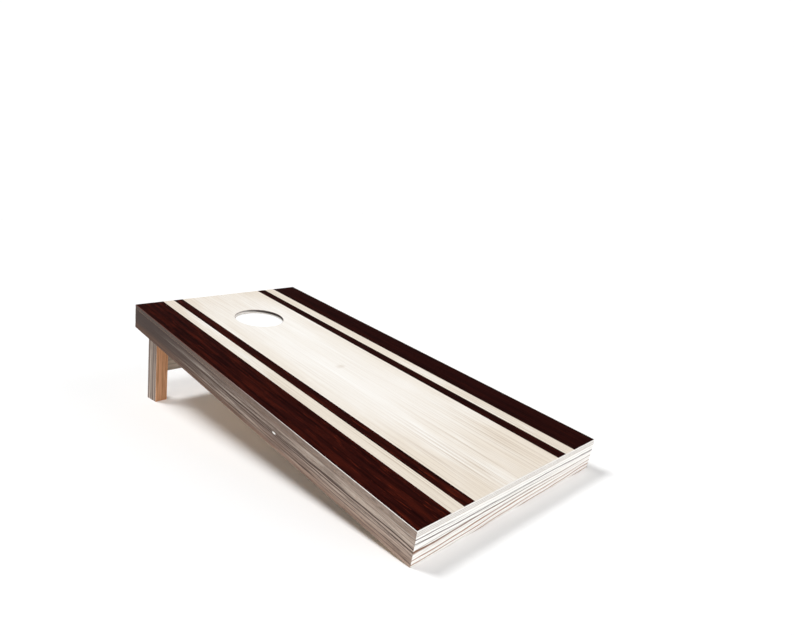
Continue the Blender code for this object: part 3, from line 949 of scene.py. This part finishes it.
def sunk_screw(name, whole):
    """A countersunk screw along +Z, from its flat head at 0."""
    gauge = sizes()
    head = gauge.screw_head_height
    wide, slim = gauge.screw_head_diameter / 2, gauge.screw_diameter * 0.36
    body = cone(name, (0, 0, 0), (0, 0, head), wide, slim)
    return with_shank(body, head, whole)


def with_shank(body, head, whole):
    """Adds a pointed shank, a thread and a driver's recess to a screw's head."""
    gauge = sizes()
    radius = gauge.screw_diameter / 2
    core = radius * 0.70
    shank = rod("shank", (0, 0, head * 0.5), (0, 0, whole), core, 16)
    pick(shank, "VERT", lambda corner: corner.co.z > whole - NEAR)
    resized((SCREW_TIP, SCREW_TIP, 1), (0, 0, whole))
    pick(shank, "EDGE", lambda edge: runs(edge, 2) or abs(edge.verts[0].co.z - edge.verts[1].co.z) > 0.001)
    bpy.ops.mesh.subdivide(number_cuts=1)
    leave()
    pick(shank, "VERT", lambda corner: head < corner.co.z < whole - 1e-4)
    shift = whole - SCREW_POINT - (head * 0.5 + whole) / 2
    bpy.ops.transform.translate(value=(0, 0, shift))
    swell = 2 / (1 + SCREW_TIP)
    resized((swell, swell, 1), (0, 0, whole - SCREW_POINT))
    last = whole - SCREW_POINT * 0.75
    spiral = thread("spiral", core, radius, head + 0.004, last, gauge.screw_pitch)
    combine(body, shank, spiral, operation="UNION")
    combine(body, drive_recess(0.0025, 0.0017))
    tidied(body)
    shaded(body, 40, weighted=False)
    return body


# Operators


class CORNHOLE_OT_deck(bpy.types.Operator):
    """Build the striped plywood deck with its bag hole"""

    bl_idname = "cornhole.deck"
    bl_label = "Deck"

    def execute(self, context):
        gauge = sizes()
        deck = block("striped_deck", DECK_LOW, DECK_HIGH)
        top = DECK_HIGH.z
        ease(deck, gauge.deck_rounding * 0.6, lambda edge: runs(edge, 2), 2)
        ease(deck, gauge.deck_rounding, lambda edge: min(c.co.z for c in edge.verts) > top - NEAR)
        radius = gauge.hole_diameter / 2
        centre = Vector((0, LENGTH - gauge.hole_from_head, DECK_LOW.z))
        over = Vector((0, 0, 0.02))
        combine(deck, rod("bag_hole", centre - over, centre + over * 2, radius, 128))

        def reach(corner):
            return (corner.co - centre).xy.length

        def rim(edge):
            round_edge = all(abs(reach(corner) - radius) < 1e-4 for corner in edge.verts)
            return round_edge and not runs(edge, 2)

        ease(deck, gauge.hole_rounding, rim, 4)
        drill_for(deck, *DECK_SCREWS, headed=False)
        tidied(deck)
        shaded(deck)

        def wall(face):
            return abs((face.calc_center_median() - centre).xy.length - radius) < gauge.hole_rounding * 0.75

        materials = [
            (material("ply_edge", ply_edge), None),
            (material("printed_face", printed_face), lambda face: face.normal.z > 0.97),
            (material("plain_ply", plain_ply), lambda face: face.normal.z < -0.9 and not wall(face)),
            (material("sealed_wall", sealed_wall), lambda face: wall(face) and face.normal.z < 0.75),
        ]
        finished(deck, materials)
        settle(deck, "board", "deck_panel")
        return {"FINISHED"}


class CORNHOLE_OT_rails(bpy.types.Operator):
    """Build the four mitred rails, with the pockets for the deck's screws"""

    bl_idname = "cornhole.rails"
    bl_label = "Rails"

    def execute(self, context):
        gauge = sizes()
        recipes = {
            "foot_rail": ("foot", "bleached_rail", bleached_rail),
            "head_rail": ("head", "head_stain", head_stain),
            "side_rail_left": ("left", "stained_rail", stained_rail),
            "side_rail_right": ("right", "stained_rail", stained_rail),
        }
        for node, (side, look, recipe) in recipes.items():
            low, high = gauge_box(node)
            rail = block(f"rail_{side}", low, high)
            inward = Vector((0, LENGTH / 2, 0)) - (low + high) / 2
            inward.z = 0
            inward.normalize()
            if side in ("foot", "head"):
                ends = [Vector((-1, 0, 0)), Vector((1, 0, 0))]
            else:
                ends = [Vector((0, -1, 0)), Vector((0, 1, 0))]
            for end in ends:
                corner = Vector((0, 0, 0))
                for axis in range(2):
                    towards = end[axis] - inward[axis]
                    corner[axis] = (high if towards > 0 else low)[axis]
                bisected(rail, corner, (end + inward).normalized())
            ease(rail, gauge.rail_rounding, lambda edge: middle(edge).z < NEAR and edge.calc_length() > 0.1)
            top = high.z - NEAR
            ease(rail, gauge.rail_rounding * 0.3, lambda e: middle(e).z > top and e.calc_length() > 0.1, 2)
            if side in SIDES:
                drill_for(rail, *(n for n in BRACE_SCREWS if f"_{side}_" in n), headed=False)
                drill_for(rail, *(n for n in BLOCK_SCREWS if n.endswith(f"{side}_side_screw")), headed=False)
                insert_low, insert_high = gauge_box(f"threaded_insert_{side}")
                start, end = on_pivot(insert_low.x - GAP), on_pivot(insert_high.x + GAP)
                radius = (insert_high.z - insert_low.z) / 2 + GAP
                combine(rail, rod("socket", start, end, radius))
            else:
                drill_for(rail, *(n for n in BLOCK_SCREWS if n.startswith(side) and "end" in n), headed=False)
            drill_for(rail, *(n for n in DECK_SCREWS if n.startswith(f"deck_screw_{side}_")))
            tidied(rail)
            complete(rail, material(look, recipe), "board", node)
        return {"FINISHED"}


class CORNHOLE_OT_brace(bpy.types.Operator):
    """Build the brace across the middle of the frame"""

    bl_idname = "cornhole.brace"
    bl_label = "Centre brace"

    def execute(self, context):
        brace = block("brace", *gauge_box("centre_brace"))
        ease(brace, sizes().block_rounding, lambda edge: runs(edge, 0))
        drill_for(brace, *BRACE_SCREWS)
        drill_for(brace, *(node for node in DECK_SCREWS if "brace" in node))
        tidied(brace)
        look = material("pine_across", bare_pine, 0, 1.0)
        complete(brace, look, "board", "centre_brace")
        return {"FINISHED"}


class CORNHOLE_OT_blocks(bpy.types.Operator):
    """Build the four corner blocks, with countersunk holes for their screws"""

    bl_idname = "cornhole.blocks"
    bl_label = "Corner blocks"

    def execute(self, context):
        for end in ("foot", "head"):
            for side in SIDES:
                node = f"{end}_block_{side}"
                post = block(f"post_{end}_{side}", *gauge_box(node))
                ease(post, sizes().block_rounding)
                drill_for(post, f"{node}_side_screw", f"{node}_end_screw")
                tidied(post)
                look = material("pine_upright", bare_pine, 2, 4.0)
                complete(post, look, "board", node)
        return {"FINISHED"}


class CORNHOLE_OT_legs(bpy.types.Operator):
    """Build the two folding legs: round tops, feet cut level with the floor, eased edges"""

    bl_idname = "cornhole.legs"
    bl_label = "Legs"

    def execute(self, context):
        gauge = sizes()
        down = BOARD.inverted().to_3x3() @ Vector((0, 0, -1))
        floor_spot = BOARD.inverted() @ Vector((0, 0, 0))
        for side in SIDES:
            node = f"leg_{side}"
            low, high = gauge_box(node)
            leg = block(f"folding_leg_{side}", low, high)
            half = (high.y - low.y) / 2
            top = high.z - NEAR
            ease(leg, half - 1e-6, lambda edge: runs(edge, 0) and middle(edge).z > top, 18)
            tidied(leg)
            bisected(leg, floor_spot, down)
            ease(leg, gauge.leg_rounding, segments=4)
            bored(leg, low.x, high.x, gauge.bolt_diameter / 2 + BORE_GAP)
            combine(leg, *dowel_holes(side))
            tidied(leg)
            shaded(leg)
            look = material("leg_stain", stained_leg, 2, 3.0, 1.0, 0.0)

            # The legs' eased long edges take a painted highlight.
            def painted_highlight(face):
                tilt = max(abs(part) for part in face.normal)
                return tilt < 0.985 and abs(face.normal.x) > 0.2 and face.calc_area() > 1e-7

            finished(leg, [(look, None), (material("rubbed_edge", rubbed_edge), painted_highlight)])
            settle(leg, "leg_frame", node)
        return {"FINISHED"}


def dowel_nodes(side):
    return [f"crossbar_dowel_{side}_{level}" for level in ("lower", "upper")]


def dowel_line(node):
    """Ends and radius of a CAD dowel in the board's gauge."""
    low, high = gauge_box(node)
    start, end = low.copy(), high.copy()
    start.yz = end.yz = ((low + high) / 2).yz
    return start, end, (high.z - low.z) / 2


def dowel_holes(side):
    holes = []
    for node in dowel_nodes(side):
        start, end, radius = dowel_line(node)
        slack = Vector((GAP, 0, 0))
        holes.append(rod("dowel_hole", start - slack, end + slack, radius + GAP, 24))
    return holes


class CORNHOLE_OT_crossbar(bpy.types.Operator):
    """Build the bar between the legs and the dowels that hold it"""

    bl_idname = "cornhole.crossbar"
    bl_label = "Crossbar and dowels"

    def execute(self, context):
        bar = block("leg_bar", *gauge_box("leg_crossbar"))
        ease(bar, sizes().leg_rounding * 0.6, lambda edge: runs(edge, 0))
        for side in SIDES:
            combine(bar, *dowel_holes(side))
        tidied(bar)
        # The crossbar's grey is lifted towards pale: painted light, since it sits in the deck's shade.
        look = material("bar_stain", stained_leg, 0, 8.0, 0.0, 0.40)
        complete(bar, look, "leg_frame", "leg_crossbar")

        for side in SIDES:
            for node in dowel_nodes(side):
                start, end, radius = dowel_line(node)
                level = node.rsplit("_", 1)[1]
                dowel = rod(f"dowel_{side}_{level}", start, end, radius)
                ease(dowel, radius * 0.22, lambda edge: not runs(edge, 0), 2)
                centre = (start + end) / 2

                def flute(edge):
                    spot = middle(edge) - centre
                    turn = round(atan2(spot.z, spot.y) / (2 * pi / 32))
                    return runs(edge, 0) and turn % 2 == 0 and edge.calc_length() > radius

                pick(dowel, "EDGE", flute)
                resized((0.985, 0.93, 0.93), tuple(centre))
                look = material("pine_across", bare_pine, 0, 1.0)
                complete(dowel, look, "leg_frame", node, 20, weighted=False)
        return {"FINISHED"}


class CORNHOLE_OT_pivots(bpy.types.Operator):
    """Build the hex bolts that the legs turn on, with their washers and threaded inserts"""

    bl_idname = "cornhole.pivots"
    bl_label = "Pivot bolts"

    def execute(self, context):
        gauge = sizes()
        radius = gauge.bolt_diameter / 2
        corner = gauge.bolt_flats / 3 ** 0.5
        for side, sign in SIDES.items():
            out = Vector((sign, 0, 0))

            def outwards(box):
                """The near and far end of a box, going out from the board."""
                return [on_pivot(spot.x) for spot in box][::sign]

            head_end, tip = outwards(gauge_box(f"pivot_bolt_{side}"))
            seat = outwards(gauge_box(f"head_washer_{side}"))[0] - out * GAP
            hexagon = rod(f"hex_bolt_{side}", head_end, seat, corner, 6)
            dome = rod("dome", head_end, seat + out * 0.001, corner * 0.995, 64)
            crown = head_end.x
            ease(dome, 0.0010, lambda edge: abs(middle(edge).x - crown) < NEAR and not runs(edge, 0))
            combine(hexagon, dome, operation="INTERSECT")
            reach = abs(tip.x - seat.x)
            plain = seat + out * (reach * 0.55)
            shank = rod("shank", seat - out * 0.001, tip, radius * BOLT_CORE)
            collar = rod("collar", seat - out * 0.001, plain, radius)
            spiral = thread("spiral", radius * BOLT_CORE, radius, 0, reach * 0.42, gauge.bolt_pitch, 16)
            moved(spiral, standing(plain, out))
            combine(hexagon, shank, collar, spiral, operation="UNION")
            tidied(hexagon)
            node = f"pivot_bolt_{side}"
            complete(hexagon, steel(), "board", node, 30, weighted=False)

            for place in ("head", "spacer"):
                node = f"{place}_washer_{side}"
                low, high = gauge_box(node)
                start, end = on_pivot(low.x), on_pivot(high.x)
                washer = rod(f"washer_{place}_{side}", start, end, (high.z - low.z) / 2, 64)
                bored(washer, low.x, high.x, radius + BORE_GAP, 48)
                ease(washer, 0.00025, lambda edge: not runs(edge, 0) and round_about(edge), 2)
                complete(washer, steel(), "board", node, 30, weighted=False)

            node = f"threaded_insert_{side}"
            low, high = gauge_box(node)
            outer = (high.z - low.z) / 2
            core = outer * INSERT_CORE
            start, end = outwards((low, high))
            insert = rod(f"insert_{side}", start, end, core, 48)
            flange = rod("flange", start, start + out * 0.0016, outer, 48)
            last = abs(end.x - start.x) - 0.0026
            spiral = thread("spiral", core, outer, 0.0036, last, 0.0028, 24)
            moved(spiral, standing(start, out))
            combine(insert, flange, spiral, operation="UNION")
            bored(insert, low.x, high.x, radius + GAP, 48)
            tidied(insert)
            brass = material("insert_metal", plated, tuple(colours().brass), 0.7)
            complete(insert, brass, "board", node, 30, weighted=False)
        return {"FINISHED"}


def round_about(edge):
    """True for an edge of a rim round the pivot, not one that crosses a flat face."""
    first, second = ((corner.co - PIVOT).yz.length for corner in edge.verts)
    return abs(first - second) < NEAR


class CORNHOLE_OT_screws(bpy.types.Operator):
    """Build one screw of each kind, and copy it to every place that the frame has one"""

    bl_idname = "cornhole.screws"
    bl_label = "Screws"

    def execute(self, context):
        groups = ((DECK_SCREWS, pan_screw), (BRACE_SCREWS, pan_screw), (BLOCK_SCREWS, sunk_screw))
        for nodes, recipe in groups:
            head, tip = screw_line(nodes[0])
            model = recipe("screw_model", (tip - head).length)
            finished(model, [(steel(), None)])
            for node in nodes:
                head, tip = screw_line(node)
                screw = copied(model, node.replace("screw", "fixing"), standing(head, tip - head))
                settle(screw, "board", node)
            bpy.data.objects.remove(model, do_unlink=True)
        return {"FINISHED"}


class CORNHOLE_OT_stage(bpy.types.Operator):
    """Lay the floor, light it softly and set the camera"""

    bl_idname = "cornhole.stage"
    bl_label = "Stage"

    def execute(self, context):
        studio = context.scene.cornhole_studio
        bpy.ops.object.select_all(action="DESELECT")
        bpy.ops.mesh.primitive_plane_add(size=FLOOR_SIZE, location=(0, 0, 0))
        floor = bpy.context.active_object
        floor.name = "floor"
        floor.data.materials.append(material("studio_floor", studio_floor))

        lights = {
            "key_light": ((-0.45, -0.45, 1.0), studio.key_strength, 16),
            "back_light": ((-0.45, 1.0, 1.9), studio.back_strength, 22),
            "fill_light": ((0.55, -1.0, 0.45), studio.fill_strength, 40),
        }
        for name, (direction, strength, spread) in lights.items():
            bpy.ops.object.light_add(type="SUN", location=direction, rotation=aim(direction))
            light = bpy.context.active_object
            light.name = name
            light.data.energy = strength
            light.data.angle = radians(spread)

        sky = Finish("studio_sky", world=True)
        context.scene.world = sky.owner
        height = sky.parts(sky.add("ShaderNodeTexCoord", output="Generated"))[2]
        stops = tuple(zip(SKY_STOPS, ((1, 1, 1), (studio.sky_strength,) * 3)))
        glow = sky.add("ShaderNodeValToRGB", {"stops": stops}, {0: height})
        sky.plug(sky.shader, {"Color": glow, "Strength": SKY_LIGHT})

        bpy.ops.object.camera_add(location=studio.camera_place)
        camera = bpy.context.active_object
        camera.name = "camera"
        level = Euler((pi / 2 + studio.pitch, 0, -studio.heading)).to_matrix()
        camera.rotation_euler = (level @ Matrix.Rotation(studio.roll, 3, "Z")).to_euler()
        camera.data.lens = studio.lens
        camera.data.sensor_width = 36
        camera.data.shift_x, camera.data.shift_y = studio.shift
        context.scene.camera = camera
        context.scene.view_settings.view_transform = "Standard"
        return {"FINISHED"}


class CORNHOLE_PT_panel(bpy.types.Panel):
    bl_idname = "CORNHOLE_PT_panel"
    bl_label = "Cornhole board"
    bl_space_type = "VIEW_3D"
    bl_region_type = "UI"
    bl_category = "Cornhole"

    def draw(self, context):
        for operator in OPERATORS:
            self.layout.operator(operator.bl_idname)
        for group in (sizes(), colours(), context.scene.cornhole_studio):
            box = self.layout.box()
            for name in group.__annotations__:
                box.prop(group, name)


OPERATORS = (
    CORNHOLE_OT_deck,
    CORNHOLE_OT_rails,
    CORNHOLE_OT_brace,
    CORNHOLE_OT_blocks,
    CORNHOLE_OT_legs,
    CORNHOLE_OT_crossbar,
    CORNHOLE_OT_pivots,
    CORNHOLE_OT_screws,
    CORNHOLE_OT_stage,
)
GROUPS = {
    "cornhole_sizes": CornholeSizes,
    "cornhole_colours": CornholeColours,
    "cornhole_studio": CornholeStudio,
}


def register():
    for item in (*GROUPS.values(), *OPERATORS, CORNHOLE_PT_panel):
        bpy.utils.register_class(item)
    for name, group in GROUPS.items():
        setattr(bpy.types.Scene, name, PointerProperty(type=group))


def unregister():
    for name in GROUPS:
        delattr(bpy.types.Scene, name)
    for item in reversed((*GROUPS.values(), *OPERATORS, CORNHOLE_PT_panel)):
        bpy.utils.unregister_class(item)


def main():
    register()
    bpy.ops.cornhole.deck()
    bpy.ops.cornhole.rails()
    bpy.ops.cornhole.brace()
    bpy.ops.cornhole.blocks()
    bpy.ops.cornhole.legs()
    bpy.ops.cornhole.crossbar()
    bpy.ops.cornhole.pivots()
    bpy.ops.cornhole.screws()
    bpy.ops.cornhole.stage()


if __name__ == "__main__":
    main()
